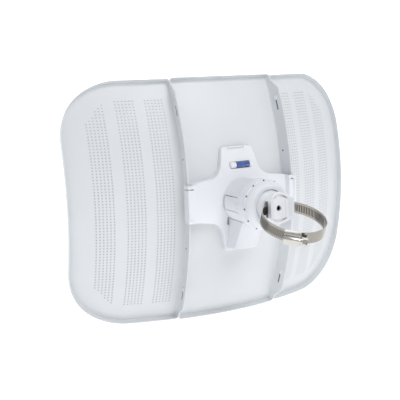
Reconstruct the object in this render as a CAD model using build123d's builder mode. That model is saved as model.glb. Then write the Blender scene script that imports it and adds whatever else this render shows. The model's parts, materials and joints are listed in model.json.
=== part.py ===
from build123d import *
from math import cos, radians, sin, sqrt
import os

os.makedirs("parts", exist_ok=True)

# An outdoor wireless bridge: a three-panel dish with its radio feed on the front, and a ball mount
# with a steel band behind. +Z is up, -Y is the way the dish looks, and the origin is on the centre
# line of the pole that the mount's cradle rests on. All sizes are millimetres.
# "depth" is measured back from the dish's vertex, "across" to the right as seen from behind.

# Reflector
focal_wide = 152.0
focal_tall = 140.0
sheet = 0.8
seam_across = 62.5
wing_half_width = 177.0
wing_half_height = 129.6
centre_half_height = 130.6
wing_corner_r = 62.0
rim_depth = 8.0
flange_depth = 17.0
rivet_heights = (-98.0, -47.0, 47.0, 98.0)
rivet_lift = 7.0
rivet_r = 1.5

# Pole cradle, ball and neck
pole_back = 94.0
pole_r = 16.0
head_r = 16.4
head_half_width = 14.2
head_back = 85.0
cone_start = 69.5
cone_end = 73.5
neck_r = 12.0
ball_depth = 48.0
ball_r = 21.5
fit = 0.05

# Barrel and lock nut
barrel_r = 24.5
barrel_bore_r = 22.6
barrel_end = 52.0
nut_front = 38.5
nut_shoulder = 53.6
nut_back = 64.3
nut_r = 27.3
nut_bore_r = 24.8
nut_mouth_r = 19.8
grip_count = 12
ratchet_count = 36

# Rear bracket
face_depth = 9.0
face_fall = 0.003
wall = 2.2
edge_r = 1.5
arm_end = 61.3
crook_r = 17.0
clip_top = 22.0
clip_bottom = -19.0
vial_height = 38.0
vial_depth = 3.4
vial_r = 3.6

# Steel band
loop_r = 32.0
band_thick = 0.7
band_height = 12.0
loop_depth = 104.9
droop = 20.0
housing_turn = 217.0

# Feed
feed_width = 42.0
feed_height = 22.0
feed_wall = 2.0
feed_front = -100.0
plate_depth = -70.0
radome_r = 34.5


def rear_plane(depth):
    """A plane across the dish's axis, seen from behind: x runs to the right, y runs up."""
    return Plane(origin=(0, depth - pole_back, 0), x_dir=(-1, 0, 0), z_dir=(0, 1, 0))


def side_plane(across=0.0):
    """A plane along the axis: x is depth behind the vertex, y is up."""
    return Plane(origin=(-across, -pole_back, 0), x_dir=(0, 1, 0), z_dir=(1, 0, 0))


def level_plane(height=0.0):
    """A level plane: x runs to the right as seen from behind, y is depth behind the vertex."""
    return Plane(origin=(0, -pole_back, height), x_dir=(-1, 0, 0), z_dir=(0, 0, -1))


def turning_plane(turn=0.0):
    """A plane through the axis, turned up from +X: x is the radius, y is depth behind the vertex."""
    across = (cos(radians(turn)), 0, sin(radians(turn)))
    return Plane(origin=(0, -pole_back, 0), x_dir=across, z_dir=(-across[2], 0, across[0]))


def finish(piece, label):
    """Name a piece and write it."""
    piece.label = label
    export_step(piece, f"parts/{label}.step")


def sag(across, height):
    """Depth of the dish's surface, which curves towards the front."""
    return -across**2 / (4 * focal_wide) - height**2 / (4 * focal_tall)


def paraboloid(half_width=200.0, half_height=150.0):
    """The dish's elliptic paraboloid as one exact Bezier patch, larger than the dish."""
    rise_wide = -sag(half_width, 0)
    rise_tall = -sag(0, half_height)

    def control(x, z):
        depth = rise_wide * (1 - 2 * abs(x)) + rise_tall * (1 - 2 * abs(z))
        return (x * half_width, depth - pole_back, z * half_height)

    return Face.make_bezier_surface([[control(x, z) for z in (-1, 0, 1)] for x in (-1, 0, 1)])


def dish_patch(left, right, half_height, corner_r=0.0):
    """The stretch of the dish's surface in front of an outline that may be rounded on its right."""
    with BuildPart() as column:
        with BuildSketch(rear_plane(-120)) as outline:
            with Locations(((left + right) / 2, 0)):
                Rectangle(right - left, 2 * half_height)
            if corner_r:
                fillet(outline.vertices().group_by(Axis.X)[-1], corner_r)
        extrude(amount=140)
    return (column.part & paraboloid()).faces()[0]


def raised(patch, height):
    """A patch of the dish's surface made into a solid, raised backwards square to the surface."""
    faces_front = patch.normal_at(patch.center()).Y < 0
    return Solid.thicken(patch, -height if faces_front else height)


def seam_place(side, height, lift):
    """A plane square to a seam flange: x along the flange's depth, z outwards from the centre."""
    out = Vector(side * seam_across / (2 * focal_wide), 1, height / (2 * focal_tall)).normalized()
    along = Vector(0, -height / (2 * focal_tall), 1).normalized()
    root = Vector(side * seam_across, sag(seam_across, height) - pole_back, height)
    return Plane(origin=root + out * lift, x_dir=out, z_dir=out.cross(along) * (-side))


# ---- Reflector panels ----

# The flanges' free edges drop in an S to the rim's depth near the top and the bottom of a seam.
with BuildPart() as flange_ends:
    with BuildSketch(side_plane(50)):
        for end in (-1, 1):
            high = sag(seam_across, 114) + flange_depth * 0.97
            low = sag(seam_across, 128) + rim_depth * 0.97
            with BuildLine():
                Bezier((high, end * 114), (high - 4, end * 121), (low + 4, end * 121), (low, end * 127.5))
                Polyline((low, end * 127.5), (low, end * 150), (40, end * 150), (40, end * 114), (high, end * 114))
            make_face()
    extrude(amount=-30)


def tray(left, right, half_height, corner_r, rim_left, rim_right):
    """A pressed panel: the sheet with a rim turned backwards square to it."""
    outer = dish_patch(left, right, half_height, corner_r)
    inner = dish_patch(left + rim_left, right - rim_right, half_height - sheet, max(corner_r - sheet, 0))
    with BuildPart() as panel:
        add(raised(outer, rim_depth))
        add(raised(inner, rim_depth + 1), mode=Mode.SUBTRACT)
        add(raised(outer, sheet))
    return panel.part


with BuildPart() as centre_flanges:
    for side in (-1, 1):
        edges = sorted((side * (seam_across - sheet), side * seam_across))
        add(raised(dish_patch(edges[0], edges[1], centre_half_height), flange_depth))
    add(flange_ends.part, mode=Mode.SUBTRACT)
    add(mirror(flange_ends.part, about=Plane.YZ), mode=Mode.SUBTRACT)

with BuildPart() as wing_flange:
    add(raised(dish_patch(seam_across, seam_across + sheet, wing_half_height), flange_depth))
    add(flange_ends.part, mode=Mode.SUBTRACT)

with BuildPart() as centre_panel:
    add(tray(-seam_across, seam_across, centre_half_height, 0, sheet, sheet))
    add(centre_flanges.part)
    with BuildSketch(rear_plane(-10)):
        RectangleRounded(feed_width + 1, feed_height + 1, 8)
        with GridLocations(47, 27, 2, 2):
            Circle(1.4)
    extrude(amount=20, mode=Mode.SUBTRACT)

with BuildPart() as right_wing:
    add(tray(seam_across - 12, wing_half_width, wing_half_height, wing_corner_r, 0, sheet))
    add(raised(dish_patch(20, seam_across, 148), rim_depth + 2), mode=Mode.SUBTRACT)
    add(wing_flange.part)

# Rivets hold each wing's flange to the centre panel's flange.
rivet_grip = sheet + 0.12
rivet_groups = {}
for side, label in ((1, "seam_rivets_left"), (-1, "seam_rivets_right")):
    with BuildPart() as rivets:
        for height in rivet_heights:
            place = seam_place(side, height, rivet_lift)
            with BuildSketch(place.offset(-rivet_grip)):
                Circle(rivet_r)
            extrude(amount=2 * rivet_grip)
            with BuildSketch(place.offset(rivet_grip)):
                Circle(rivet_r + 1)
            extrude(amount=0.9, taper=20)
            with BuildSketch(place.offset(-rivet_grip)):
                Circle(rivet_r + 1)
            extrude(amount=-0.9, taper=20)
    rivet_groups[label] = rivets.part

with BuildPart() as rivet_holes:
    for side in (-1, 1):
        for height in rivet_heights:
            with BuildSketch(seam_place(side, height, rivet_lift).offset(-2)):
                Circle(rivet_r + fit)
            extrude(amount=4)

centre = centre_panel.part - rivet_holes.part
wing = right_wing.part - rivet_holes.part
finish(centre, "centre_panel")
finish(wing, "right_wing")
finish(mirror(wing, about=Plane.YZ), "left_wing")
for label, rivets in rivet_groups.items():
    finish(rivets, label)


# ---- Pole mount: ball, neck and cradle in one moulding ----

slot_height = 17.0
slot_play = 2.9
screw_hole_r = 2.9
with BuildPart() as pole_mount:
    with BuildSketch(turning_plane()):
        with BuildLine():
            Polyline((0, ball_depth), (0, head_back), (head_r, head_back), (head_r, cone_end), (neck_r, cone_start),
                     (neck_r, ball_depth), (0, ball_depth))
        make_face()
    revolve(axis=Axis.Y)
    with BuildSketch(rear_plane(cone_start - 1)):
        with Locations((head_half_width + 10, 0), (-head_half_width - 10, 0)):
            Rectangle(20, 60)
    extrude(amount=20, mode=Mode.SUBTRACT)
    with Locations((0, ball_depth - pole_back, 0)):
        Sphere(ball_r)
    fillet(pole_mount.edges().filter_by(GeomType.CIRCLE).filter_by(lambda e: abs(e.radius - neck_r) < 0.01)
           .sort_by(Axis.Y)[0], 2.2)
    with Locations(Plane.XY.offset(-30)):
        Cylinder(pole_r, 60, align=(Align.CENTER, Align.CENTER, Align.MIN), mode=Mode.SUBTRACT)
    with BuildSketch(level_plane(-slot_height / 2)):
        with Locations((0, loop_depth)):
            Circle(loop_r + band_thick + slot_play)
            Circle(loop_r - slot_play, mode=Mode.SUBTRACT)
    extrude(amount=-slot_height, mode=Mode.SUBTRACT)
    with BuildSketch(rear_plane(loop_depth - loop_r)):
        Circle(screw_hole_r)
    extrude(amount=20, mode=Mode.SUBTRACT)
    for end in (-1, 1):
        with BuildSketch(rear_plane(76.8)):
            with Locations((0, end * 3.5)):
                Circle(11.0)
            with Locations((0, end * -9)):
                Circle(20.6, mode=Mode.SUBTRACT)
        extrude(amount=14, mode=Mode.SUBTRACT)
    with BuildSketch(rear_plane(ball_depth - ball_r - 1)):
        Circle(9)
    extrude(amount=22, mode=Mode.SUBTRACT)
finish(pole_mount.part, "pole_mount")


def seat(label, inner_r, outer_r, low, high):
    """A turned ring with spherical faces about the ball's centre, cut square at two depths."""
    with BuildPart() as ring:
        with Locations((0, ball_depth - pole_back, 0)):
            Sphere(outer_r)
            Sphere(inner_r, mode=Mode.SUBTRACT)
        with BuildSketch(rear_plane(low)):
            Circle(2 * outer_r)
        extrude(amount=high - low, mode=Mode.INTERSECT)
    finish(ring.part, label)


front_liner_r = 24.0
rear_liner_r = 23.2
seat("front_liner", ball_r + fit, front_liner_r, ball_depth - front_liner_r - 1, 34.6)
seat("rear_liner", ball_r + fit, rear_liner_r, 54.6, 59.2)

with BuildPart() as pressure_ring:
    with BuildSketch(turning_plane()):
        with BuildLine():
            Polyline((15, 54.2), (24.2, 54.2), (24.2, 57.2), (21.9, 61.0), (21.9, 61.8), (15, 61.8), (15, 54.2))
        make_face()
    revolve(axis=Axis.Y)
    with Locations((0, ball_depth - pole_back, 0)):
        Sphere(rear_liner_r + fit, mode=Mode.SUBTRACT)
    with BuildSketch(rear_plane(50)):
        Circle(19.4)
    extrude(amount=20, mode=Mode.SUBTRACT)
finish(pressure_ring.part, "pressure_ring")

with BuildPart() as lock_nut:
    with BuildSketch(turning_plane()):
        with BuildLine():
            Polyline((nut_bore_r, nut_front), (nut_r - 0.8, nut_front), (nut_r, nut_front + 1.2),
                     (nut_r, nut_shoulder - 0.8), (nut_r - 0.8, nut_shoulder))
            ThreePointArc((nut_r - 0.8, nut_shoulder), (25.6, 60.4), (22.4, nut_back))
            Polyline((22.4, nut_back), (nut_mouth_r + 0.8, nut_back), (nut_mouth_r, nut_back - 0.8),
                     (nut_mouth_r, 61.9), (22.3, 61.9), (22.3, 61.3), (nut_bore_r, 57.5), (nut_bore_r, nut_front))
        make_face()
    revolve(axis=Axis.Y)
    scallop_r = 24.0
    with BuildSketch(rear_plane(nut_front - 1)):
        with PolarLocations(nut_r - 1 + scallop_r, grip_count, start_angle=180 / grip_count + 3.8):
            Circle(scallop_r)
    extrude(amount=nut_shoulder - nut_front + 1, mode=Mode.SUBTRACT)
    with BuildSketch(rear_plane(nut_shoulder - 2.2)):
        with PolarLocations(nut_r - 1.1, grip_count, start_angle=3.8):
            Circle(0.8)
    extrude(amount=6, mode=Mode.SUBTRACT)
    with BuildSketch(rear_plane(nut_front)):
        with PolarLocations(nut_bore_r + 0.9, ratchet_count):
            Rectangle(2.4, 1.6)
    extrude(amount=1.3, mode=Mode.SUBTRACT)
finish(lock_nut.part, "lock_nut")


# ---- Rear bracket with the barrel ----

def face_at(height):
    """Depth of the bracket's curved face."""
    return face_depth - face_fall * height**2


def bracket_block(inset, drop):
    """The bracket's cross-shaped block under its curved face, smaller where an inset is asked for."""
    with BuildPart() as block:
        with BuildSketch(rear_plane(-15)) as cross:
            with BuildLine():
                Polyline((19.2, 58), (26.3, 27.1), (arm_end, clip_top), (arm_end, clip_bottom), (26.0, -24.8),
                         (17.0, -57), (-17.0, -57), (-26.0, -24.8), (-arm_end, clip_bottom),
                         (-arm_end, clip_top), (-26.3, 27.1), (-19.2, 58), (19.2, 58))
            make_face()
            fillet(cross.vertices().filter_by(lambda v: 20 < abs(v.X) < 30), crook_r)
            fillet(cross.vertices().filter_by(lambda v: abs(v.X) < 20), 4)
            if inset:
                offset(amount=-inset, kind=Kind.INTERSECTION)
        extrude(amount=40)
        with BuildSketch(side_plane(80)):
            with BuildLine():
                Bezier((face_at(70) - drop, -70), (2 * face_at(0) - face_at(70) - drop, 0), (face_at(70) - drop, 70))
                Polyline((face_at(70) - drop, 70), (-30, 70), (-30, -70), (face_at(70) - drop, -70))
            make_face()
        extrude(amount=160, mode=Mode.INTERSECT)
    return block.part


hood_half_width = 17.5
hood_bottom = -52.0
cup_r = front_liner_r + fit
cup_edge = ball_depth - sqrt(cup_r**2 - barrel_bore_r**2)
cup_floor = ball_depth - cup_r
pawl_half_turn = 18.0
pawl_front = 9.2
pawl_slit = 1.9
pawl_gap = 0.6

with BuildPart() as rear_bracket:
    add(bracket_block(0, 0))
    fillet(rear_bracket.edges().filter_by(lambda e: e.center().Y > -14 - pole_back), edge_r)
    add(bracket_block(wall, wall), mode=Mode.SUBTRACT)
    for side in (-1, 1):
        with BuildSketch(level_plane(clip_top)):
            with BuildLine():
                Polyline((side * 57, 7.0), (side * 60, 12.8), (side * 69, 12.8), (side * 67.8, 2), (side * 66, 2),
                         (side * 67.4, 11), (side * 60.8, 11), (side * 59, 6.8), (side * 57, 7.0))
            make_face()
        extrude(amount=clip_top - clip_bottom)
        with BuildSketch(side_plane(side * 67)):
            with Locations((6, clip_top - 4.5)):
                Rectangle(20, 1.2)
        extrude(amount=5, both=True, mode=Mode.SUBTRACT)
    with BuildSketch(turning_plane()):
        with BuildLine():
            Polyline((0, cup_floor), (0, cup_floor - 2.5), (barrel_r - wall, cup_floor - 2.5), (barrel_r - wall, 5),
                     (barrel_r, 5), (barrel_r, nut_front - 0.5), (barrel_r - 0.7, nut_front - 0.5),
                     (barrel_r - 0.7, barrel_end), (barrel_bore_r, barrel_end), (barrel_bore_r, cup_edge))
            ThreePointArc((barrel_bore_r, cup_edge),
                          (cup_r * sin(radians(35)), ball_depth - cup_r * cos(radians(35))), (0, cup_floor))
        make_face()
    revolve(axis=Axis.Y)
    for turn in range(3):
        with BuildSketch(rear_plane(nut_front + 2.5 + 4 * turn)):
            Circle(barrel_r)
            Circle(barrel_r - 1.2, mode=Mode.SUBTRACT)
        extrude(amount=1.6)
    with BuildSketch(rear_plane(0)):
        Circle(barrel_r - wall)
    extrude(amount=cup_floor - 3.5, mode=Mode.SUBTRACT)
    with BuildSketch(rear_plane(0)):
        with Locations((0, -29.5)):
            Rectangle(27, 25)
    extrude(amount=20, mode=Mode.SUBTRACT)
    with BuildSketch(rear_plane(vial_depth - vial_r - 1.6)):
        with Locations((1, vial_height)):
            RectangleRounded(30.4, 2 * vial_r + 3.4, 3.7)
    extrude(amount=vial_r + 1.5)
    with BuildSketch(rear_plane(vial_depth - vial_r - fit)):
        with Locations((1, vial_height)):
            RectangleRounded(27.4, 2 * vial_r + 0.4, 2.2)
    extrude(amount=20, mode=Mode.SUBTRACT)
    with BuildSketch(turning_plane(pawl_half_turn + 1.5)):
        with Locations((barrel_r - 0.9, (pawl_front + nut_front) / 2)):
            Rectangle(4.6, nut_front - pawl_front)
    revolve(axis=Axis.Y, revolution_arc=2 * pawl_half_turn + 3, mode=Mode.SUBTRACT)
    add(raised(dish_patch(-80, 80, 70), -25).moved(Location((0, sheet + 0.1, 0))), mode=Mode.SUBTRACT)
finish(rear_bracket.part, "rear_bracket")

with BuildPart() as ratchet_pawl:
    with BuildSketch(turning_plane(pawl_half_turn)):
        with Locations((barrel_r - wall / 2, (pawl_front + pawl_slit + nut_front - pawl_gap) / 2)):
            Rectangle(wall, nut_front - pawl_front - pawl_slit - pawl_gap)
    revolve(axis=Axis.Y, revolution_arc=2 * pawl_half_turn)
finish(ratchet_pawl.part, "ratchet_pawl")


# ---- Cable hood: a scoop that slides down off the network port ----

def hood_block(inset, low, high):
    """The hood's tapering block between two heights, smaller by a wall where asked."""
    with BuildPart() as block:
        for height in (low, high):
            rise = (height - hood_bottom) / 40
            crease = 14 + 22 * rise - inset * 0.8
            crown = 21.5 + 19.5 * rise - inset
            foot = hood_half_width - inset
            shoulder = 14.5 - inset
            with BuildSketch(level_plane(height)):
                with BuildLine():
                    Polyline((-shoulder, crease), (-foot, -2), (foot, -2), (shoulder, crease))
                    ThreePointArc((shoulder, crease), (0, crown), (-shoulder, crease))
                make_face()
        loft(ruled=True)
    return block.part


with BuildPart() as cable_hood:
    add(hood_block(0, hood_bottom, -14))
    add(hood_block(1.8, hood_bottom - 2, -12), mode=Mode.SUBTRACT)
    add(bracket_block(0, -0.2), mode=Mode.SUBTRACT)
    with BuildSketch(rear_plane(-5)):
        Circle(barrel_r + 0.6)
    extrude(amount=60, mode=Mode.SUBTRACT)
    with BuildSketch(rear_plane(nut_front - 3)):
        Circle(nut_r + 2)
    extrude(amount=30, mode=Mode.SUBTRACT)
finish(cable_hood.part, "cable_hood")


# ---- Bubble level in the top arm ----

def vial_rod(label, radius, start, end, bore=0.0):
    """A rod or tube of the bubble level, from one place across to another."""
    with BuildPart() as rod:
        with BuildSketch(side_plane(end)):
            with Locations((vial_depth, vial_height)):
                Circle(radius)
                if bore:
                    Circle(bore, mode=Mode.SUBTRACT)
        extrude(amount=end - start)
        if label == "vial_liquid":
            with BuildSketch(side_plane(bubble_across + 5.3)):
                with Locations((vial_depth, vial_height + 1.1)):
                    Circle(1.5)
            extrude(amount=10.6, mode=Mode.SUBTRACT)
    return rod.part


bubble_across = 3.5
finish(vial_rod("vial_tube", vial_r, -5, 12, 2.9), "vial_tube")
finish(vial_rod("vial_liquid", 2.9 - fit, -4.9, 11.9), "vial_liquid")
with BuildPart() as vial_bubble:
    with BuildSketch(side_plane(bubble_across + 2.5)):
        with Locations((vial_depth, vial_height + 1.1)):
            Circle(1.2)
    extrude(amount=5)
    fillet(vial_bubble.edges().filter_by(GeomType.CIRCLE), 1.1)
finish(vial_bubble.part, "vial_bubble")
with BuildPart() as vial_caps:
    add(vial_rod("cap", vial_r, -12.2, -5.1))
    add(vial_rod("cap", vial_r, 12.1, 14.4))
    fillet(vial_caps.faces().sort_by(Axis.X)[0].edges() + vial_caps.faces().sort_by(Axis.X)[-1].edges(), 2.0)
finish(vial_caps.part, "vial_caps")


# ---- Steel band with its worm screw ----

band_line = loop_r + band_thick / 2
pivot_depth = loop_depth - band_line
pivot_height = 1.0
loop_centre = Vector(0, pivot_depth + band_line * cos(radians(droop)) - pole_back,
                     pivot_height - band_line * sin(radians(droop)))
band_plane = Plane(origin=loop_centre, x_dir=(-1, 0, 0), z_dir=(0, sin(radians(droop)), cos(radians(droop))))


def band_out(turn):
    """The direction from the loop's centre at a turn from its front, to the right from behind."""
    return band_plane.x_dir * sin(radians(turn)) + band_plane.y_dir * cos(radians(turn))


def housing_plane(radius, shift=0.0):
    """A plane square to the band at the housing: x outwards, z along the worm screw."""
    out = band_out(housing_turn)
    along = out.cross(band_plane.z_dir) * (-1)
    return Plane(origin=loop_centre + out * radius + along * shift, x_dir=out, z_dir=along)


worm_line = 37.6
worm_r = 3.7
housing_length = 16.5
housing_height = 13.6

with BuildPart() as band_strap:
    with BuildSketch(band_plane.offset(-band_height / 2)):
        Circle(loop_r + band_thick)
        Circle(loop_r, mode=Mode.SUBTRACT)
    extrude(amount=band_height)
    with BuildSketch(Plane(origin=loop_centre, x_dir=band_out(228), z_dir=band_out(228).cross(band_plane.z_dir))):
        with Locations((loop_r + 1.5 * band_thick - 0.01, 0)):
            Rectangle(band_thick + 0.02, band_height)
    revolve(axis=Axis(loop_centre, band_plane.z_dir), revolution_arc=70)
finish(band_strap.part, "band_strap")

with BuildPart() as worm_housing:
    with BuildSketch(housing_plane(0, -housing_length / 2)):
        with Locations(((loop_r - 1.2 + 36.5) / 2, 0)):
            Rectangle(36.5 - loop_r + 1.2, housing_height)
        with Locations((worm_line, 0)):
            Circle(worm_r + 1.3)
    extrude(amount=housing_length)
    with BuildSketch(housing_plane(worm_line, -housing_length)):
        Circle(worm_r + fit)
    extrude(amount=2 * housing_length, mode=Mode.SUBTRACT)
    with BuildSketch(band_plane.offset(-band_height / 2 - 0.1)):
        Circle(loop_r + 2 * band_thick + 0.6)
        Circle(loop_r - 0.4, mode=Mode.SUBTRACT)
    extrude(amount=band_height + 0.2, mode=Mode.SUBTRACT)
finish(worm_housing.part, "worm_housing")

with BuildPart() as worm_screw:
    with BuildSketch(housing_plane(worm_line, -housing_length / 2 + 0.5)):
        Circle(worm_r)
    extrude(amount=housing_length)
    with BuildSketch(housing_plane(worm_line, housing_length / 2 + 0.5)):
        Circle(worm_r + 0.9)
    extrude(amount=1.2)
    with BuildSketch(housing_plane(worm_line, housing_length / 2 + 1.7)):
        RegularPolygon(worm_r + 0.4, 6)
    extrude(amount=5)
    with BuildSketch(housing_plane(worm_line, housing_length / 2 + 5.2)):
        Rectangle(12, 1.2)
    extrude(amount=2, mode=Mode.SUBTRACT)
finish(worm_screw.part, "worm_screw")


# ---- Feed: tube, radome, sub-reflector and the radio boards ----

def turned(label, *profile):
    """A ring or disc turned about the dish's axis from a profile of radius and depth."""
    with BuildPart() as ring:
        with BuildSketch(turning_plane()):
            with BuildLine():
                Polyline(*profile, profile[0])
            make_face()
        revolve(axis=Axis.Y)
    finish(ring.part, label)


def block(low, high):
    """A box between two corners given as across, depth, height."""
    size = [b - a for a, b in zip(low, high)]
    place = Location((-(low[0] + high[0]) / 2, (low[1] + high[1]) / 2 - pole_back, (low[2] + high[2]) / 2))
    return place * Box(*size, mode=Mode.PRIVATE)


collar_width = feed_width + 12
collar_height = feed_height + 12
screw_grid = GridLocations(47, 27, 2, 2)

with BuildPart() as feed_tube:
    with BuildSketch(rear_plane(plate_depth)):
        RectangleRounded(feed_width, feed_height, 7.5)
    extrude(amount=2.9 - plate_depth)
    with BuildSketch(rear_plane(-4.4)):
        RectangleRounded(collar_width, collar_height, 4)
    extrude(amount=2.5)
    with BuildSketch(rear_plane(plate_depth - 2)):
        Circle(radome_r)
    extrude(amount=2)
    with BuildSketch(rear_plane(plate_depth - 2)):
        RectangleRounded(feed_width - 2 * feed_wall, feed_height - 2 * feed_wall, 5.5)
    extrude(amount=90, mode=Mode.SUBTRACT)
    with BuildSketch(rear_plane(-4.0)):
        with screw_grid:
            Circle(1.2 + fit)
    extrude(amount=3, mode=Mode.SUBTRACT)
finish(feed_tube.part, "feed_tube")

with BuildPart() as feed_lock_ring:
    with BuildSketch(rear_plane(0.9)):
        RectangleRounded(collar_width, collar_height, 4)
        RectangleRounded(feed_width + 0.4, feed_height + 0.4, 7.7, mode=Mode.SUBTRACT)
        with screw_grid:
            Circle(1.4, mode=Mode.SUBTRACT)
    extrude(amount=2)
finish(feed_lock_ring.part, "feed_lock_ring")

with BuildPart() as feed_screws:
    with BuildSketch(rear_plane(-3.8)):
        with screw_grid:
            Circle(1.2)
    extrude(amount=6.7)
    with BuildSketch(rear_plane(2.9)):
        with screw_grid:
            Circle(2.3)
    extrude(amount=1.4)
finish(feed_screws.part, "feed_screws")

with BuildPart() as feed_radome:
    with BuildSketch(turning_plane()):
        with BuildLine():
            Polyline((0, feed_front), (26, feed_front))
            ThreePointArc((26, feed_front), (32, -97.5), (radome_r, -91.5))
            Polyline((radome_r, -91.5), (radome_r, -72.1), (radome_r - 1.8, -72.1), (radome_r - 1.8, -91.2))
            ThreePointArc((radome_r - 1.8, -91.2), (30.7, -96.1), (26, -98.2))
            Polyline((26, -98.2), (0, -98.2), (0, feed_front))
        make_face()
    revolve(axis=Axis.Y)
finish(feed_radome.part, "feed_radome")

dome_r = 148.0
turned("feed_gasket", (29.5, -72.9), (32.5, -72.9), (32.5, -72.1), (29.5, -72.1))
turned("reflector_spacer", (31.0, -91.0), (32.4, -91.0), (32.4, -73.0), (31.0, -73.0))
with BuildPart() as sub_reflector:
    with BuildSketch(rear_plane(-93)):
        Circle(32)
    extrude(amount=5)
    with Locations((0, -88.5 - dome_r - pole_back, 0)):
        Sphere(dome_r, mode=Mode.INTERSECT)
        Sphere(dome_r - 1, mode=Mode.SUBTRACT)
finish(sub_reflector.part, "sub_reflector")

finish(block((-18, -80, -0.8), (18, 3.1, 0.8)), "feed_board")
finish(block((-14, -58, 0.9), (14, -18, 5.2)), "shield_can")
with BuildPart() as board_chips:
    add(block((-7, -50, -2.5), (7, -36, -0.9)))
    add(block((-6, -30, -2.1), (4, -20, -0.9)))
    add(block((7, -30, -2.1), (13, -20, -0.9)))
finish(board_chips.part, "board_chips")
with BuildPart() as radiator_plate:
    with BuildSketch(rear_plane(-81.4)):
        Circle(13)
    extrude(amount=1.2)
finish(radiator_plate.part, "radiator_plate")
with BuildPart() as radiator_dipole:
    for side in (-1, 1):
        with BuildSketch(rear_plane(-87.2)):
            with Locations((side * 6.8, 0)):
                Rectangle(11, 3)
        extrude(amount=1)
        with BuildSketch(rear_plane(-86.3)):
            with Locations((side * 2.8, 0)):
                Circle(0.9)
        extrude(amount=4.8)
finish(radiator_dipole.part, "radiator_dipole")

finish(block((-12.5, 3.2, -40), (12.5, 4.8, 6)), "port_board")
finish(block((-9, -3, -6.4), (9, 3.1, -0.9)), "board_link")
jack_across = -1.2
jack_low = -39.0
with BuildPart() as ethernet_jack:
    add(block((jack_across - 7.8, 4.9, jack_low), (jack_across + 7.8, 17.9, -25)))
    add(block((jack_across - 6, 8.2, jack_low - 1), (jack_across + 6, 16.6, -27)), mode=Mode.SUBTRACT)
    add(block((jack_across - 3, 16, jack_low - 1), (jack_across + 3, 17.2, -27)), mode=Mode.SUBTRACT)
finish(ethernet_jack.part, "ethernet_jack")
with BuildPart() as jack_shield:
    add(block((jack_across - 8.2, 4.9, jack_low), (jack_across + 8.2, 18.3, -24.7)))
    add(block((jack_across - 7.9, 3, jack_low - 1), (jack_across + 7.9, 18.0, -24.9)), mode=Mode.SUBTRACT)
finish(jack_shield.part, "jack_shield")
with BuildPart() as jack_contacts:
    for pin in range(8):
        across = jack_across + (pin - 3.5) * 1.02
        add(block((across - 0.2, 8.3, jack_low + 2.5), (across + 0.2, 9.1, -27.1)))
finish(jack_contacts.part, "jack_contacts")
button_across = 10.0
with BuildPart() as reset_switch:
    add(block((button_across - 2.4, 4.9, -37.5), (button_across + 2.4, 9.3, -33)))
    with BuildSketch(level_plane(-37.5)):
        with Locations((button_across, 7.1)):
            Circle(1.1 + fit)
    extrude(amount=-2.6, mode=Mode.SUBTRACT)
finish(reset_switch.part, "reset_switch")
with BuildPart() as reset_button:
    with BuildSketch(level_plane(-36.0)):
        with Locations((button_across, 7.1)):
            Circle(1.1)
    extrude(amount=3.6)
finish(reset_button.part, "reset_button")
with BuildPart() as status_leds:
    for row in range(4):
        height = -30 + 3.4 * row
        add(block((button_across - 0.6, 4.9, height), (button_across + 1.2, 5.8, height + 1.2)))
finish(status_leds.part, "status_leds")
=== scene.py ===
import json
from math import atan2, cos, degrees, pi, radians, sin, sqrt

import bmesh
import bpy
from mathutils import Matrix, Vector


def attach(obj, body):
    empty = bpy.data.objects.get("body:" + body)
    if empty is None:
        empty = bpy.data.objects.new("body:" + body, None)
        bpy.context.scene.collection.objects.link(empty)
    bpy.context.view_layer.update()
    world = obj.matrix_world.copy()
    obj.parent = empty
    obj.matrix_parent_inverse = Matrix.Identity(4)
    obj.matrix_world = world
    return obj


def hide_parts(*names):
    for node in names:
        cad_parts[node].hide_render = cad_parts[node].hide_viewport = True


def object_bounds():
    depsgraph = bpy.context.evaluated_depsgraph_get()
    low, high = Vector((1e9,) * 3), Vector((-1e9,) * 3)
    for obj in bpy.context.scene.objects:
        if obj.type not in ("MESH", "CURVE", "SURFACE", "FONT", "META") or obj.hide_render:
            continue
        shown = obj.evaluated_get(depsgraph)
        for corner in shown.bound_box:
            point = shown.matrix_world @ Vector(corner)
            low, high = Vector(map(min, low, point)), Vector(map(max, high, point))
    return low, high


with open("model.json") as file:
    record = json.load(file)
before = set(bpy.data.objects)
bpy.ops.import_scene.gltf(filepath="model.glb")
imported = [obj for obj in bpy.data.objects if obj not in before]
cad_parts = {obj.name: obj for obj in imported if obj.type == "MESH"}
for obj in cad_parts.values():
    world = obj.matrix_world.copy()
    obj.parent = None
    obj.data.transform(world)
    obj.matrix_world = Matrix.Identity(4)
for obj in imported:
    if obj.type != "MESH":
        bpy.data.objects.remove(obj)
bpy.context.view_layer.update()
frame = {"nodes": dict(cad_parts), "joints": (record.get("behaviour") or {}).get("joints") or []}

# ---- Reflector panels ----
# Three trays of pressed steel sheet, powder coated in a very pale cool grey. Their edges are turned
# back in a soft roll, deeper flanges stand along the two seams, and the wings are punched with
# three bands of small holes, each holding a thin grey disc part way through the sheet, painted shade
# in the open holes.

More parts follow.
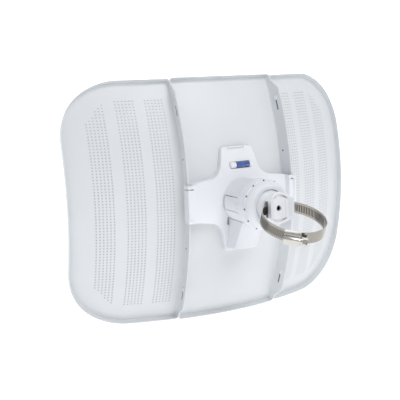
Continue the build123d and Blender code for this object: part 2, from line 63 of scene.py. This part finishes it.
focal_wide = 0.152
focal_tall = 0.140
vertex_back = 0.094
sheet = 0.0008
edge_roll = 0.0020
rim_height = 0.008
flange_height = 0.0168
seam_across = 0.0625
wing_corner = 0.062
wing_half_width = 0.1790
wing_half_height = 0.1316
centre_half_height = 0.1326
seam_play = 0.00005
seam_corner = 0.0015
rim_lean = 0.4
lean_across_start = 0.09
lean_across_run = 0.03
lean_up_start = 0.10
lean_up_run = 0.025
flange_fall_start = 0.113
flange_fall_run = 0.0135
row_pitch = 0.0032
column_pitch = 0.0035
hole_margin = 0.00088
hole_corner = 0.00042
hole_area = 4e-6
shade_disc_depth = 0.35 * sheet
shade_disc_thick = 0.3 * sheet
band_centres = (0.0833, 0.1132, 0.1440)
band_columns = 6
band_rows = 35.5
outer_band_top = 0.09914
outer_band_fall = 0.95
plain_wing_columns = [0.0695, 0.0982, 0.1286, 0.1590, 0.1635, 0.1680]
centre_column_pitch = 0.0058
feed_gap = (0.0215, 0.0115)
flat = 0.0001
drift_scale = 28.0
drift_detail = 3.0
grain_detail = 2.0
grain_height = 0.0002


def moulded(name, colour, roughness=0.45, drift=0.04, grain=900.0, relief=0.02, **sockets):
    """A material with a faint drift of tone and a fine grain, and any other shader sockets by name."""
    material = bpy.data.materials.new(name)
    material.use_nodes = True
    nodes = material.node_tree.nodes
    link = material.node_tree.links.new
    shader = nodes["Principled BSDF"]
    shader.inputs["Roughness"].default_value = roughness
    for socket, value in sockets.items():
        shader.inputs[socket.replace("_", " ")].default_value = value
    place = nodes.new("ShaderNodeTexCoord")
    cloud = nodes.new("ShaderNodeTexNoise")
    cloud.inputs["Scale"].default_value = drift_scale
    cloud.inputs["Detail"].default_value = drift_detail
    tone = nodes.new("ShaderNodeValToRGB")
    tone.color_ramp.elements[0].position = 0.3
    tone.color_ramp.elements[0].color = [c * (1 - drift) for c in colour] + [1.0]
    tone.color_ramp.elements[1].position = 0.7
    tone.color_ramp.elements[1].color = [*colour, 1.0]
    link(place.outputs["Object"], cloud.inputs["Vector"])
    link(cloud.outputs["Fac"], tone.inputs["Fac"])
    link(tone.outputs["Color"], shader.inputs["Base Color"])
    speck = nodes.new("ShaderNodeTexNoise")
    speck.inputs["Scale"].default_value = grain
    speck.inputs["Detail"].default_value = grain_detail
    bump = nodes.new("ShaderNodeBump")
    bump.inputs["Strength"].default_value = relief
    bump.inputs["Distance"].default_value = grain_height
    link(place.outputs["Object"], speck.inputs["Vector"])
    link(speck.outputs["Fac"], bump.inputs["Height"])
    link(bump.outputs["Normal"], shader.inputs["Normal"])
    return material


def add_piece(name, bm, body, material, stands_for=(), sharp=35):
    """Make a finished mesh an object that rides on a body, with smooth faces and sharp corners."""
    mesh = bpy.data.meshes.new(name)
    bm.to_mesh(mesh)
    bm.free()
    mesh.polygons.foreach_set("use_smooth", [True] * len(mesh.polygons))
    mesh.set_sharp_from_angle(angle=radians(sharp))
    mesh.materials.append(material)
    piece = bpy.data.objects.new(name, mesh)
    bpy.context.scene.collection.objects.link(piece)
    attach(piece, body)
    if stands_for:
        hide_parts(*stands_for)
    return piece


def paint(material, *node_names):
    """Give CAD nodes their finish."""
    for node_name in node_names:
        materials = frame["nodes"][node_name].data.materials
        materials.clear()
        materials.append(material)


def on_dish(across, height, lift=0.0):
    """A point raised off the back of the dish's curve, squarely at its middle and straighter at its rims."""
    near_side = min(max((abs(across) - lean_across_start) / lean_across_run, 0.0), 1.0)
    near_end = min(max((abs(height) - lean_up_start) / lean_up_run, 0.0), 1.0)
    lean_across = 1 - (1 - rim_lean) * near_side
    lean_up = 1 - (1 - rim_lean) * near_end
    slope = Vector((lean_across * across / (2 * focal_wide), 1.0, lean_up * height / (2 * focal_tall)))
    depth = -across**2 / (4 * focal_wide) - height**2 / (4 * focal_tall)
    return Vector((across, depth - vertex_back, height)) + slope.normalized() * lift


def everything(bm):
    """All parts of a mesh."""
    return bm.verts[:] + bm.edges[:] + bm.faces[:]


def seam_flange_height(height):
    """The flange drops in an S to the rim's height near each end of a seam."""
    fall = min(max((abs(height) - flange_fall_start) / flange_fall_run, 0.0), 1.0)
    return flange_height + (rim_height - flange_height) * fall * fall * (3 - 2 * fall)


def pressed_panel(low, high, half_height, corners, seams, columns, punched=None, window=None):
    """A flat blank cut to its outline, its edges turned up, punched, then curved and thickened."""
    bm = bmesh.new()
    low_in, high_in, top_in = low + edge_roll, high - edge_roll, half_height - edge_roll
    middle = Matrix.Translation(((low_in + high_in) / 2, 0, 0))
    spread = Matrix.Diagonal(((high_in - low_in) / 2, top_in, 1, 1))
    bmesh.ops.create_grid(bm, x_segments=1, y_segments=1, size=1,
                          matrix=middle @ Matrix.Rotation(radians(90), 4, "X") @ spread)
    for column in columns:
        bmesh.ops.bisect_plane(bm, geom=everything(bm), plane_co=(column, 0, 0), plane_no=(1, 0, 0))
    rows = int(top_in / row_pitch)
    for row in range(-rows, rows + 1):
        bmesh.ops.bisect_plane(bm, geom=everything(bm), plane_co=(0, 0, row * row_pitch), plane_no=(0, 0, 1))
    for end, edge, radius in ((-1, low_in, corners[0]), (1, high_in, corners[1])):
        for updown in (-1, 1):
            centre = Vector((edge - end * radius, 0, updown * (top_in - radius)))
            steps = 14 if radius > 0.01 else 4
            for step in range(1, steps):
                turn = step / steps * pi / 2
                facing = Vector((end * cos(turn), 0, updown * sin(turn)))
                bmesh.ops.bisect_plane(bm, geom=everything(bm), plane_co=centre + facing * radius,
                                       plane_no=facing, clear_outer=True)
    bmesh.ops.remove_doubles(bm, verts=bm.verts, dist=0.0003)

    def corner_core(spot):
        """The nearest corner's radius, and the point that it is measured from."""
        radius = corners[0] if spot.x < (low_in + high_in) / 2 else corners[1]
        return radius, Vector((min(max(spot.x, low_in + radius), high_in - radius), 0,
                               min(max(spot.z, radius - top_in), top_in - radius)))

    edges = [edge for edge in bm.edges if edge.is_boundary]
    turns = [radians(22.5 * step) for step in range(1, 5)]
    profile = [(sin(turn), 1 - cos(turn), 0.0) for turn in turns]
    profile += [(1, 1, share) for share in (0.35, 0.6, 1.0)]
    for share_out, share_up, climb in profile:
        made = bmesh.ops.extrude_edge_only(bm, edges=edges)["geom"]
        edges = [part for part in made if isinstance(part, bmesh.types.BMEdge)]
        for vert in {vert for edge in edges for vert in edge.verts}:
            radius, core = corner_core(vert.co)
            facing = (Vector((vert.co.x, 0, vert.co.z)) - core).normalized()
            on_seam = any(seam * facing.x > 0.7 for seam in seams)
            lip = seam_flange_height(vert.co.z) if on_seam else rim_height
            height = edge_roll * share_up + (lip - edge_roll) * climb
            vert.co = core + facing * (radius + edge_roll * share_out) + Vector((0, height, 0))
    if punched:
        cells = [face for face in bm.faces if punched(face)]
        bmesh.ops.inset_individual(bm, faces=cells, thickness=hole_margin, use_even_offset=True)
        rims = list({vert for face in cells for vert in face.verts})
        bmesh.ops.bevel(bm, geom=rims, offset=hole_corner, offset_type="OFFSET", affect="VERTICES",
                        segments=1, profile=0.5, material=-1)
        # The small faces left in the holes become grey discs set into the sheet: painted shade.
        shade_discs = [face for face in bm.faces if len(face.verts) == 8 and face.calc_area() < hole_area]
        shades = bmesh.ops.split(bm, geom=shade_discs)["geom"]
        for vert in {part for part in shades if isinstance(part, bmesh.types.BMVert)}:
            vert.co.y += shade_disc_depth
        for face in (part for part in shades if isinstance(part, bmesh.types.BMFace)):
            face.material_index = 1
    if window:
        middles = [(face, face.calc_center_median()) for face in bm.faces]
        gap = [face for face, spot in middles if abs(spot.x) < window[0] and abs(spot.z) < window[1]]
        bmesh.ops.delete(bm, geom=gap, context="FACES")
    for vert in bm.verts:
        vert.co = on_dish(vert.co.x, vert.co.z, vert.co.y)
    bmesh.ops.solidify(bm, geom=[face for face in bm.faces if not face.material_index], thickness=sheet)
    bmesh.ops.solidify(bm, geom=[face for face in bm.faces if face.material_index], thickness=shade_disc_thick)
    return bm


def in_a_band(face):
    """Whether a cell of the wing's blank is one that gets a hole."""
    spot = face.calc_center_median()
    if face.calc_area() > 1.5 * row_pitch * column_pitch or abs(spot.y) > flat:
        return False
    for centre in band_centres:
        if abs(spot.x - centre) < band_columns / 2 * column_pitch:
            slanted = outer_band_top - (spot.x - centre) * outer_band_fall
            top = slanted if centre == band_centres[-1] else band_rows * row_pitch
            return abs(spot.z) < top
    return False


panel_paint = moulded("panel_powder_coat", (0.685, 0.71, 0.735), roughness=0.42, drift=0.02, relief=0.05)
# Grey for the discs in the holes: painted shade for the open holes.
hole_shade = moulded("hole_shade", (0.50, 0.51, 0.54), roughness=0.8, drift=0.1, relief=0.0)
wing_columns = [centre + (line - band_columns / 2) * column_pitch
                for centre in band_centres for line in range(band_columns + 1)]
wing_columns += plain_wing_columns
for side, name, node in ((1, "left_wing_panel", "left_wing"), (-1, "right_wing_panel", "right_wing")):
    wing = pressed_panel(seam_across + seam_play, wing_half_width, wing_half_height,
                         (seam_corner, wing_corner - edge_roll), (-1,), wing_columns, punched=in_a_band)
    if side < 0:
        bmesh.ops.scale(wing, vec=(-1, 1, 1), verts=wing.verts)
        bmesh.ops.reverse_faces(wing, faces=wing.faces)
    panel = add_piece(name, wing, "dish", panel_paint, [node])
    panel.data.materials.append(hole_shade)
centre_columns = [line * centre_column_pitch for line in range(-10, 11)] + [-feed_gap[0], feed_gap[0]]
centre = pressed_panel(-seam_across + seam_play, seam_across - seam_play, centre_half_height,
                       (seam_corner, seam_corner), (-1, 1), centre_columns, window=feed_gap)
add_piece("middle_panel", centre, "dish", panel_paint, ["centre_panel"])

# ---- Seam fixings ----
# Zinc plated rivets hold each wing's flange to the middle panel's, and a hook of the middle panel
# catches in a keyhole slot near each end of a seam. The rivet heads are coloured dark as painted
# shade, and the slots are dark plugs set in the flange, painted shade for the open slots.

rivet_heights = (-0.047, 0.047)
rivet_lift = 0.007
rivet_r = 0.0014
hook_heights = (-0.098, 0.098)
slot_lift = 0.0095
slot_shift = -0.002
slot_size = (0.0020, 0.0024, 0.012)
slot_round = 0.0008
hook_shift = 0.006
hook_size = (0.0044, 0.0034, 0.0050)
hook_round = 0.0011


def seam_spot(side, height, lift):
    """Axes at a seam flange: x away from the middle panel, y out of the back, z along the seam."""
    out = (on_dish(side * seam_across, height, 1.0) - on_dish(side * seam_across, height)).normalized()
    along = Vector((0, -height / (2 * focal_tall), 1)).normalized()
    away = out.cross(along) * side
    spot = on_dish(side * seam_across, height, lift)
    return Matrix.Translation(spot) @ Matrix((away, out, along)).transposed().to_4x4()


def rounded_box(bm, place, size, round_off):
    """Add a box with rounded edges to a mesh."""
    verts = bmesh.ops.create_cube(bm, size=1, matrix=Matrix.Diagonal((*size, 1)))["verts"]
    edges = list({edge for vert in verts for edge in vert.link_edges})
    made = bmesh.ops.bevel(bm, geom=edges, offset=round_off, offset_type="OFFSET", affect="EDGES",
                           segments=3, profile=0.5, material=-1)
    box_verts = list({vert for face in made["faces"] for vert in face.verts})
    bmesh.ops.transform(bm, matrix=place, verts=box_verts)


seam_paint = moulded("seam_paint", (0.72, 0.745, 0.765), roughness=0.4, drift=0.02)
# A near-black for painted shade in slots, holes and dimples.
slot_shade = moulded("slot_shade", (0.10, 0.125, 0.18), roughness=0.6, drift=0.1, relief=0.0)
# Rivet heads coloured much darker than zinc: painted shade.
rivet_shade_paint = moulded("zinc_rivet_painted_shade", (0.14, 0.17, 0.23), roughness=0.4, drift=0.1)
for side, word, node in ((1, "left", "seam_rivets_left"), (-1, "right", "seam_rivets_right")):
    bm = bmesh.new()
    for height in rivet_heights:
        bmesh.ops.create_uvsphere(bm, u_segments=16, v_segments=10, radius=rivet_r,
                                  matrix=seam_spot(side, height, rivet_lift))
    add_piece(f"{word}_seam_rivets", bm, "dish", rivet_shade_paint, [node])
    # Dark plugs in the keyhole slots: painted shade.
    bm = bmesh.new()
    for height in hook_heights:
        rounded_box(bm, seam_spot(side, height + slot_shift, slot_lift), slot_size, slot_round)
    add_piece(f"{word}_keyhole_slot_shade", bm, "dish", slot_shade)
    bm = bmesh.new()
    for height in hook_heights:
        rounded_box(bm, seam_spot(side, height + hook_shift, slot_lift), hook_size, hook_round)
    add_piece(f"{word}_seam_hooks", bm, "dish", seam_paint)

# ---- Rear bracket ----
# One white moulding: a cross with a curved face that spans both seams, clips that hook over the
# seam flanges, and the barrel that holds the ball. The hood slides over its network port. The
# clips' bars and pads and the top latch are added to it here, and two dark strips beside the hood
# are painted shade for its slots.

bracket_white = moulded("bracket_plastic", (0.775, 0.79, 0.83), roughness=0.5, drift=0.02)
paint(bracket_white, "rear_bracket", "ratchet_pawl", "cable_hood")

clip_across = 0.0672
clip_bar_back = 0.0126
clip_pad_back = 0.0120
clip_top = 0.0195
clip_bottom = -0.0165
clip_middle = (clip_top + clip_bottom) / 2
clip_bar_size = (0.0034, 0.0026, clip_top - clip_bottom - 0.004)
clip_pad_size = (0.0062, 0.0036, 0.0030)
latch_parts = (((0.0018, 0.0006, 0.0575), (0.0205, 0.0024, 0.0016)),
               ((-0.0080, 0.0010, 0.0582), (0.0018, 0.0030, 0.0032)))
latch_round = 0.0006
hood_slot_across = 0.0183
hood_slot_back = 0.0078
hood_slot_height = -0.0215
hood_slot_size = (0.0008, 0.0020, 0.0085)
hood_slot_round = 0.0003


def behind(across, depth, height):
    """The place of a point at a depth behind the dish's middle."""
    return Matrix.Translation((across, depth - vertex_back, height))


for side, word in ((1, "left"), (-1, "right")):
    bm = bmesh.new()
    rounded_box(bm, behind(side * clip_across, clip_bar_back, clip_middle), clip_bar_size, 0.0011)
    for height in (clip_top, clip_bottom):
        rounded_box(bm, behind(side * (clip_across - 0.001), clip_pad_back, height), clip_pad_size, 0.0012)
    add_piece(f"{word}_clip_bar", bm, "dish", bracket_white)
bm = bmesh.new()
for spot, size in latch_parts:
    rounded_box(bm, behind(*spot), size, latch_round)
add_piece("top_latch", bm, "dish", bracket_white)
# Two dark strips beside the hood: painted shade where its slots are.
bm = bmesh.new()
for side in (1, -1):
    rounded_box(bm, behind(side * hood_slot_across, hood_slot_back, hood_slot_height), hood_slot_size,
                hood_slot_round)
add_piece("hood_slot_shade", bm, "dish", slot_shade)

# ---- Bubble level ----
# A clear vial of blue spirit with a white cap at each end lies in a pocket of the top arm.

vial_clear = moulded("vial_clear", (0.95, 0.97, 1.0), roughness=0.05, drift=0.0, relief=0.0,
                     Transmission_Weight=1.0, IOR=1.35)
vial_blue = moulded("vial_spirit", (0.07, 0.17, 0.58), roughness=0.12, drift=0.15, relief=0.0, IOR=1.36)
vial_air = moulded("vial_air", (0.55, 0.68, 0.95), roughness=0.1, drift=0.0, relief=0.0)
vial_white = moulded("vial_caps", (0.78, 0.79, 0.83), roughness=0.3, drift=0.02)
paint(vial_clear, "vial_tube")
paint(vial_blue, "vial_liquid")
paint(vial_air, "vial_bubble")
paint(vial_white, "vial_caps")

# ---- Lock nut and ball mount ----
# The nut is a white moulding with twelve grips, each with a dimple at its end, and a ring of
# ratchet teeth; it squeezes a pressure ring on the ball. A small dark ball in each dimple is
# painted shade. The ball, its neck and the ribbed pole cradle are one white moulding, and run
# between two grey liners.

grip_count = 12
grip_turn = 86.2
grip_r = 0.0257
grip_end = 0.0555
nut_steps = 144
nut_profile = ((0.02485, 0.0385), (0.0262, 0.0385), (0.0270, 0.0390), (0.0273, 0.0400), (0.0273, 0.0464),
               (0.0266, 0.0505), (0.0266, 0.0512), (0.0273, 0.0518), (0.0273, 0.0528), (0.0267, 0.0535),
               (0.0262, 0.0538), (0.0260, 0.0562), (0.0254, 0.0592), (0.0240, 0.0622), (0.0228, 0.0638),
               (0.0220, 0.0643), (0.0208, 0.0642), (0.0190, 0.0635), (0.0177, 0.0630), (0.0174, 0.0626),
               (0.0177, 0.0622), (0.0198, 0.0620), (0.0223, 0.0619), (0.0223, 0.0613), (0.02485, 0.0575))
dimple_r = 0.0009
dimple_spot = (0.0261, 0.0537)
tooth_count = 36
tooth_offset = 0.1
tooth_inner_r = 0.0252
tooth_outer_r = 0.0266
tooth_depth = 0.0008
tooth_front = 0.03805
tooth_back = 0.0392
tooth_profile = ((tooth_inner_r, tooth_front), (tooth_outer_r, tooth_front), (tooth_outer_r, tooth_back),
                 (tooth_inner_r, tooth_back))
cradle_r = 0.016
rib_places = (-0.0045, -0.0075, -0.0105)
rib_size = (0.0009, 0.0008, 0.0215)
rib_round = 0.0003


def turned_ring(bm, profile, steps):
    """Turn a closed profile of radius and depth about the dish's axis."""
    verts = [bm.verts.new((radius, depth - vertex_back, 0)) for radius, depth in profile]
    edges = [bm.edges.new((verts[k - 1], verts[k])) for k in range(len(verts))]
    bmesh.ops.spin(bm, geom=verts + edges, cent=(0, 0, 0), axis=(0, 1, 0), angle=2 * pi, steps=steps,
                   use_merge=True)
    bmesh.ops.remove_doubles(bm, verts=bm.verts, dist=1e-6)
    bmesh.ops.recalc_face_normals(bm, faces=bm.faces)


mount_white = moulded("mount_plastic", (0.775, 0.79, 0.83), roughness=0.48, drift=0.02)
liner_grey = moulded("liner_plastic", (0.55, 0.56, 0.58), roughness=0.35, drift=0.03)
paint(mount_white, "pole_mount", "pressure_ring")

# The nut's skirt is shrunk a little at each grip and between two grips, which leaves soft facets.
bm = bmesh.new()
turned_ring(bm, nut_profile, nut_steps)
half_grip = 180 / grip_count
for vert in bm.verts:
    if vert.co.xz.length > grip_r and vert.co.y + vertex_back < grip_end:
        turn = degrees(atan2(vert.co.z, vert.co.x)) - grip_turn
        off_grip = abs((turn + half_grip) % (2 * half_grip) - half_grip)
        near_facet = cos(radians(half_grip - off_grip))
        shrink = min(cos(radians(half_grip)) / near_facet, near_facet)
        vert.co.x *= shrink
        vert.co.z *= shrink
add_piece("grip_nut", bm, "lock_nut", mount_white, ["lock_nut"], sharp=28)
# A small dark ball in each dimple: painted shade.
bm = bmesh.new()
for grip in range(grip_count):
    turn = radians(grip_turn + 360 / grip_count * grip)
    place = behind(dimple_spot[0] * cos(turn), dimple_spot[1], dimple_spot[0] * sin(turn))
    bmesh.ops.create_uvsphere(bm, u_segments=10, v_segments=8, radius=dimple_r, matrix=place)
add_piece("nut_dimple_shade", bm, "lock_nut", slot_shade)
bm = bmesh.new()
turned_ring(bm, tooth_profile, nut_steps)
for vert in bm.verts:
    if vert.co.xz.length > (tooth_inner_r + tooth_outer_r) / 2:
        turn = (degrees(atan2(vert.co.z, vert.co.x)) + tooth_offset) % (360 / tooth_count)
        vert.co.x, vert.co.z = vert.co.xz * (1 - tooth_depth / tooth_outer_r * (turn > 180 / tooth_count))
add_piece("ratchet_ring", bm, "lock_nut", mount_white, sharp=25)
bm = bmesh.new()
for across in rib_places:
    ahead = -sqrt(cradle_r**2 - across**2)
    rib = Matrix.Translation((across, ahead, 0)) @ Matrix.Rotation(atan2(across, -ahead), 4, "Z")
    rounded_box(bm, rib, rib_size, rib_round)
add_piece("cradle_ribs", bm, "pole_mount", mount_white)
paint(liner_grey, "front_liner", "rear_liner")

# ---- Steel band ----
# A rolled stainless strip with slots for the thread of the worm screw that tightens it, and a
# housing folded round the screw. Each slot, and a strip beside the housing, is a dark patch set a
# little into the strip: painted shade.

droop = radians(20)
band_inner_r = 0.032
band_thick = 0.0007
band_half_height = 0.006
thread_half_height = 0.0038
thread_turns = (232, 108)
painted_gap_shade_turns = (194, 203)
thread_depth = 0.35 * band_thick
thread_thick = 0.3 * band_thick
thread_lean = radians(1.6)
band_steps = 216
band_steel = moulded("band_stainless", (0.36, 0.34, 0.31), roughness=0.25, drift=0.12, relief=0.03,
                     Metallic=1.0)
screw_steel = moulded("screw_steel", (0.62, 0.60, 0.57), roughness=0.22, drift=0.08, relief=0.02,
                      Metallic=1.0)
pivot = Vector(next(joint["pos_m"] for joint in frame["joints"] if joint["name"] == "band_swing"))
loop_centre = pivot + Vector((0, cos(droop), -sin(droop))) * (band_inner_r + band_thick / 2)
loop_axes = Matrix(((-1, 0, 0), (0, -cos(droop), sin(droop)), (0, sin(droop), cos(droop)))).transposed()
loop_place = Matrix.Translation(loop_centre) @ loop_axes.to_4x4()


def moved_verts(bm, made, vec):
    """Move the vertices among the parts that an operator made."""
    bmesh.ops.translate(bm, vec=vec, verts=[part for part in made if isinstance(part, bmesh.types.BMVert)])


bm = bmesh.new()
circle = bmesh.ops.create_circle(bm, segments=band_steps, radius=band_inner_r + band_thick,
                                 matrix=Matrix.Translation((0, 0, -band_half_height)))["verts"]
edges = list({edge for vert in circle for edge in vert.link_edges})
plain_height = band_half_height - thread_half_height
for rise in (plain_height, 2 * thread_half_height, plain_height):
    made = bmesh.ops.extrude_edge_only(bm, edges=edges)["geom"]
    edges = [part for part in made if isinstance(part, bmesh.types.BMEdge)]
    moved_verts(bm, made, (0, 0, rise))
bmesh.ops.recalc_face_normals(bm, faces=bm.faces)
# Slot cells and a strip beside the housing become dark patches: painted shade.
thread_shade_cells = []
for face in bm.faces:
    spot = face.calc_center_median()
    turn = (90 - degrees(atan2(spot.y, spot.x))) % 360
    every_other = int(turn * band_steps / 360) % 2
    threaded = every_other and (turn > thread_turns[0] or turn < thread_turns[1])
    if abs(spot.z) < 0.001 and (threaded or painted_gap_shade_turns[0] < turn < painted_gap_shade_turns[1]):
        thread_shade_cells.append(face)
shades = bmesh.ops.split(bm, geom=thread_shade_cells)["geom"]
for vert in {part for part in shades if isinstance(part, bmesh.types.BMVert)}:
    vert.co.x, vert.co.y = vert.co.xy * (1 - thread_depth / band_inner_r)
for face in (part for part in shades if isinstance(part, bmesh.types.BMFace)):
    face.material_index = 1
bmesh.ops.solidify(bm, geom=[face for face in bm.faces if not face.material_index], thickness=band_thick)
bmesh.ops.solidify(bm, geom=[face for face in bm.faces if face.material_index], thickness=thread_thick)
for vert in bm.verts:
    lean = thread_lean * max(-1.0, min(1.0, vert.co.z / thread_half_height))
    vert.co = Matrix.Rotation(lean, 3, "Z") @ vert.co
bmesh.ops.transform(bm, matrix=loop_place, verts=bm.verts)
strap = add_piece("slotted_strap", bm, "band", band_steel, ["band_strap"])
strap.data.materials.append(moulded("thread_shade", (0.06, 0.055, 0.05), roughness=0.5, Metallic=0.7))

housing_turn = radians(217)
housing_length = 0.0165
housing_round = 0.0004
upper_half = ((0.0426, 0.0), (0.0422, 0.0019), (0.0411, 0.0033), (0.0396, 0.0040), (0.0388, 0.0041),
              (0.0389, 0.0047), (0.0390, 0.0055), (0.0385, 0.0063), (0.0374, 0.0067), (0.0350, 0.0068),
              (0.0319, 0.0067))
outline = [(radius, -height) for radius, height in upper_half[:0:-1]] + list(upper_half)
out_axis = Vector((sin(housing_turn), cos(housing_turn), 0))
along_axis = Vector((cos(housing_turn), -sin(housing_turn), 0))
bm = bmesh.new()
ends = [bm.verts.new(out_axis * radius + Vector((0, 0, height)) - along_axis * housing_length / 2)
        for radius, height in outline]
cover = bmesh.ops.extrude_face_region(bm, geom=[bm.faces.new(ends)], use_keep_orig=True)["geom"]
moved_verts(bm, cover, along_axis * housing_length)
bmesh.ops.recalc_face_normals(bm, faces=bm.faces)
rim_edges = [edge for edge in bm.edges if any(len(face.verts) > 4 for face in edge.link_faces)]
bmesh.ops.bevel(bm, geom=rim_edges, offset=housing_round, offset_type="OFFSET", affect="EDGES", segments=2,
                profile=0.5, material=-1)
bmesh.ops.transform(bm, matrix=loop_place, verts=bm.verts)
add_piece("folded_housing", bm, "band", screw_steel, ["worm_housing"], sharp=30)
paint(screw_steel, "worm_screw", "feed_screws")

# ---- Feed ----
# A white moulded tube stands on the front of the dish and carries a radome at its end. Inside are
# the radio board with its shield, and the radiator under a small metal reflector.

feed_white = moulded("feed_plastic", (0.74, 0.75, 0.79), roughness=0.5, drift=0.02)
paint(feed_white, "feed_tube", "feed_radome", "feed_lock_ring")
paint(moulded("seal_rubber", (0.03, 0.03, 0.035), roughness=0.7, drift=0.2), "feed_gasket")
paint(moulded("spacer_plastic", (0.65, 0.66, 0.69), roughness=0.5), "reflector_spacer")
paint(moulded("spun_aluminium", (0.70, 0.71, 0.73), roughness=0.3, Metallic=1.0), "sub_reflector")
paint(moulded("solder_mask", (0.01, 0.10, 0.04), roughness=0.35, drift=0.2), "feed_board", "port_board")
paint(moulded("tinned_steel", (0.62, 0.63, 0.64), roughness=0.35, Metallic=1.0), "shield_can", "jack_shield")
paint(moulded("chip_resin", (0.02, 0.02, 0.022), roughness=0.5, drift=0.2), "board_chips", "board_link",
      "ethernet_jack", "reset_switch")
paint(moulded("rolled_brass", (0.70, 0.48, 0.20), roughness=0.3, Metallic=1.0), "radiator_plate",
      "radiator_dipole")
paint(moulded("contact_gold", (0.85, 0.60, 0.22), roughness=0.2, Metallic=1.0), "jack_contacts")
paint(moulded("button_plastic", (0.05, 0.05, 0.055), roughness=0.45), "reset_button")
paint(moulded("led_lens", (0.75, 0.80, 0.70), roughness=0.15, Transmission_Weight=0.4), "status_leds")

# ---- Stage ----
# A pale floor and a bright card in front of the dish, soft light from above and behind it, and a
# camera that looks at its back from the left and a little above.

lamp_rows = (("key", (-0.2, 1.6, 1.8), 24, 1.2), ("front", (0.0, -2.0, 1.2), 0.5, 2.0))
floor_drop = 0.1
floor_reach = 12
card_reach = 9
card_spot = (0, -5, 2)

for name, spot, energy, size in lamp_rows:
    lamp = bpy.data.lights.new(name, "AREA")
    lamp.energy = energy
    lamp.size = size
    lamp_object = bpy.data.objects.new(name, lamp)
    lamp_object.location = spot
    lamp_object.rotation_euler = Vector(spot).to_track_quat("Z", "Y").to_euler()
    bpy.context.scene.collection.objects.link(lamp_object)

pale_floor = moulded("pale_floor", (0.92, 0.92, 0.92), roughness=0.9, drift=0.01,
                     Emission_Color=(1, 1, 1, 1), Emission_Strength=0.35)
backdrop_white = moulded("backdrop_white", (0.9, 0.9, 0.9), roughness=0.9, drift=0.0,
                         Emission_Color=(1, 1, 1, 1), Emission_Strength=1.0)
floor_place = Matrix.Translation((0, 0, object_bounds()[0][2] - floor_drop))
card_place = Matrix.Translation(card_spot) @ Matrix.Rotation(radians(90), 4, "X")
for name, reach, place, finish in (("floor", floor_reach, floor_place, pale_floor),
                                   ("white_backdrop", card_reach, card_place, backdrop_white)):
    mesh = bpy.data.meshes.new(name)
    bm = bmesh.new()
    bmesh.ops.create_grid(bm, x_segments=1, y_segments=1, size=reach, matrix=place)
    bm.to_mesh(mesh)
    bm.free()
    mesh.materials.append(finish)
    card = bpy.data.objects.new(name, mesh)
    bpy.context.scene.collection.objects.link(card)

sky_from = (-0.22, 0.66, 0.72)
sky_low = (0.15, (0.20, 0.23, 0.30, 1))
sky_high = (0.85, (0.56, 0.56, 0.56, 1))
world = bpy.data.worlds.new("soft_white")
world.use_nodes = True
world_nodes = world.node_tree.nodes
world_link = world.node_tree.links.new
direction = world_nodes.new("ShaderNodeTexCoord")
toward_light = world_nodes.new("ShaderNodeVectorMath")
toward_light.operation = "DOT_PRODUCT"
toward_light.inputs[1].default_value = sky_from
sky = world_nodes.new("ShaderNodeMapRange")
sky.inputs["From Min"].default_value = -1.0
sky_tone = world_nodes.new("ShaderNodeValToRGB")
for element, (position, tone) in zip(sky_tone.color_ramp.elements, (sky_low, sky_high)):
    element.position = position
    element.color = tone
world_link(direction.outputs["Generated"], toward_light.inputs[0])
world_link(toward_light.outputs["Value"], sky.inputs["Value"])
world_link(sky.outputs["Result"], sky_tone.inputs["Fac"])
world_link(sky_tone.outputs["Color"], world_nodes["Background"].inputs["Color"])
world_nodes["Background"].inputs["Strength"].default_value = 1.0
bpy.context.scene.world = world
bpy.context.scene.view_settings.view_transform = "Standard"

camera_spot = Vector((0.4615, 0.6487, 0.1432))
camera_back = Vector((0.480, 0.862, 0.162)).normalized()
camera_roll = radians(-1.80)
sensor = 36.0
lens_share = 2.0137
level_right = Vector((0, 0, 1)).cross(camera_back).normalized()
level_up = camera_back.cross(level_right)
camera_right = level_right * cos(camera_roll) + level_up * sin(camera_roll)
camera_up = level_up * cos(camera_roll) - level_right * sin(camera_roll)
camera_data = bpy.data.cameras.new("view")
camera_data.sensor_width = sensor
camera_data.lens = lens_share * sensor
camera_data.clip_start = 0.01
camera = bpy.data.objects.new("view", camera_data)
camera_axes = Matrix((camera_right, camera_up, camera_back)).transposed()
camera.matrix_world = Matrix.Translation(camera_spot) @ camera_axes.to_4x4()
bpy.context.scene.collection.objects.link(camera)
bpy.context.scene.camera = camera
